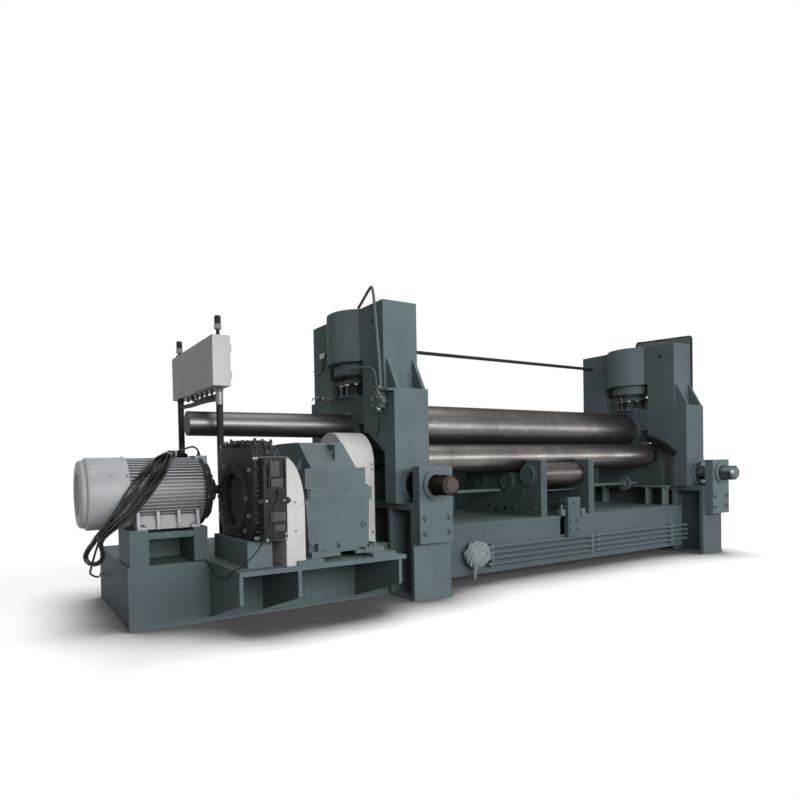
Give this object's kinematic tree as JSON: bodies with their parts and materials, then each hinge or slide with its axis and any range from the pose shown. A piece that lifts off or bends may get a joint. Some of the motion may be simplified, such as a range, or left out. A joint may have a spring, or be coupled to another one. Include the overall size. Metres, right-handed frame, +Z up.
{
  "type": "plate rolling machine",
  "caption": "Heavy plate bending machine: an upper roll hung in sliding portal frames over driven lower rolls, with motor, gear unit and reducer on a drive base.",
  "frame": {"origin": "floor level, in the middle of the anchor holes of the two legs", "axes": "+X along the rolls away from the drive, +Y across the machine from the working side to the back, +Z up"},
  "size_m": [7.0938, 2.35, 2.74],
  "materials": {
    "machine_paint": "worn satin teal grey",
    "dark_paint": "worn satin dark teal grey",
    "guard_paint": "semi gloss light grey",
    "motor_paint": "satin blue grey",
    "cabinet_paint": "semi gloss grey",
    "black_paint": "dull black",
    "roll_steel": "dark oiled forged steel",
    "bright_steel": "machined steel",
    "black_rubber": "dull"
  },
  "bodies": {
    "base": {"drive_side_leg": "machine_paint", "far_side_leg": "machine_paint", "front_beam": "machine_paint", "rear_beam": "machine_paint", "bed_plate": "dark_paint", "screw_brackets": "machine_paint", "bearing_seats": "dark_paint", "support_plates": "dark_paint", "centre_brackets": "machine_paint", "sync_shaft": "bright_steel", "beam_pipes": "machine_paint", "pipe_wrap": "bright_steel", "motor_pedestal": "machine_paint", "drive_deck": "machine_paint", "motor_stand": "machine_paint", "motor": "motor_paint", "fan_cowl": "motor_paint", "motor_coupling": "black_paint", "bell_housing": "black_paint", "gear_unit": "black_paint", "gear_unit_support": "machine_paint", "coupling_guard": "guard_paint", "reducer_rails": "machine_paint", "reducer_case": "machine_paint", "reducer_cover": "machine_paint", "gear_guards": "guard_paint", "control_box": "cabinet_paint", "box_posts": "black_paint", "cable_hank": "black_rubber", "cable_lead": "black_rubber", "sensor_cable": "black_rubber"},
    "portal": {"drive_side_frame": "machine_paint", "far_side_frame": "machine_paint", "cylinder_housings": "machine_paint", "screw_rods": "roll_steel", "tie_rod": "black_paint", "frame_pipes": "black_paint", "mesh_guard": "black_paint"},
    "press": {"chocks": "dark_paint"},
    "upper_roll": {"upper_roll": "roll_steel"},
    "front_lower_roll": {"front_lower_roll": "roll_steel"},
    "rear_lower_roll": {"rear_lower_roll": "roll_steel"},
    "front_outer_support_roll": {"front_outer_support_roll": "roll_steel"},
    "front_inner_support_roll": {"front_inner_support_roll": "roll_steel"},
    "rear_inner_support_roll": {"rear_inner_support_roll": "roll_steel"},
    "rear_outer_support_roll": {"rear_outer_support_roll": "roll_steel"}
  },
  "joints": [
    {"name": "portal_shift", "type": "slide", "parent": "base", "child": "portal", "axis": [0, 1, 0], "range_m": [-0.06, 0.06]},
    {"name": "roll_lift", "type": "slide", "parent": "portal", "child": "press", "axis": [0, 0, 1], "range_m": [-0.07, 0.02]},
    {"name": "upper_roll_spin", "type": "hinge", "parent": "press", "child": "upper_roll", "pos_m": [-0.08, 0, 1.522], "axis": [1, 0, 0], "continuous": true},
    {"name": "front_lower_spin", "type": "hinge", "parent": "base", "child": "front_lower_roll", "pos_m": [-0.08, -0.335, 1.193], "axis": [1, 0, 0], "continuous": true},
    {"name": "rear_lower_spin", "type": "hinge", "parent": "base", "child": "rear_lower_roll", "pos_m": [-0.08, 0.335, 1.193], "axis": [1, 0, 0], "continuous": true},
    {"name": "front_outer_support_spin", "type": "hinge", "parent": "base", "child": "front_outer_support_roll", "pos_m": [-0.08, -0.53517, 1.00958], "axis": [1, 0, 0], "continuous": true},
    {"name": "front_inner_support_spin", "type": "hinge", "parent": "base", "child": "front_inner_support_roll", "pos_m": [-0.08, -0.22371, 0.94536], "axis": [1, 0, 0], "continuous": true},
    {"name": "rear_inner_support_spin", "type": "hinge", "parent": "base", "child": "rear_inner_support_roll", "pos_m": [-0.08, 0.22371, 0.94536], "axis": [1, 0, 0], "continuous": true},
    {"name": "rear_outer_support_spin", "type": "hinge", "parent": "base", "child": "rear_outer_support_roll", "pos_m": [-0.08, 0.53517, 1.00958], "axis": [1, 0, 0], "continuous": true}
  ],
  "couplings": [
    {"joint": "rear_lower_spin", "follows": "front_lower_spin", "ratio": 1},
    {"joint": "front_outer_support_spin", "follows": "front_lower_spin", "ratio": -1.156},
    {"joint": "front_inner_support_spin", "follows": "front_lower_spin", "ratio": -1.156},
    {"joint": "rear_inner_support_spin", "follows": "front_lower_spin", "ratio": -1.156},
    {"joint": "rear_outer_support_spin", "follows": "front_lower_spin", "ratio": -1.156}
  ]
}
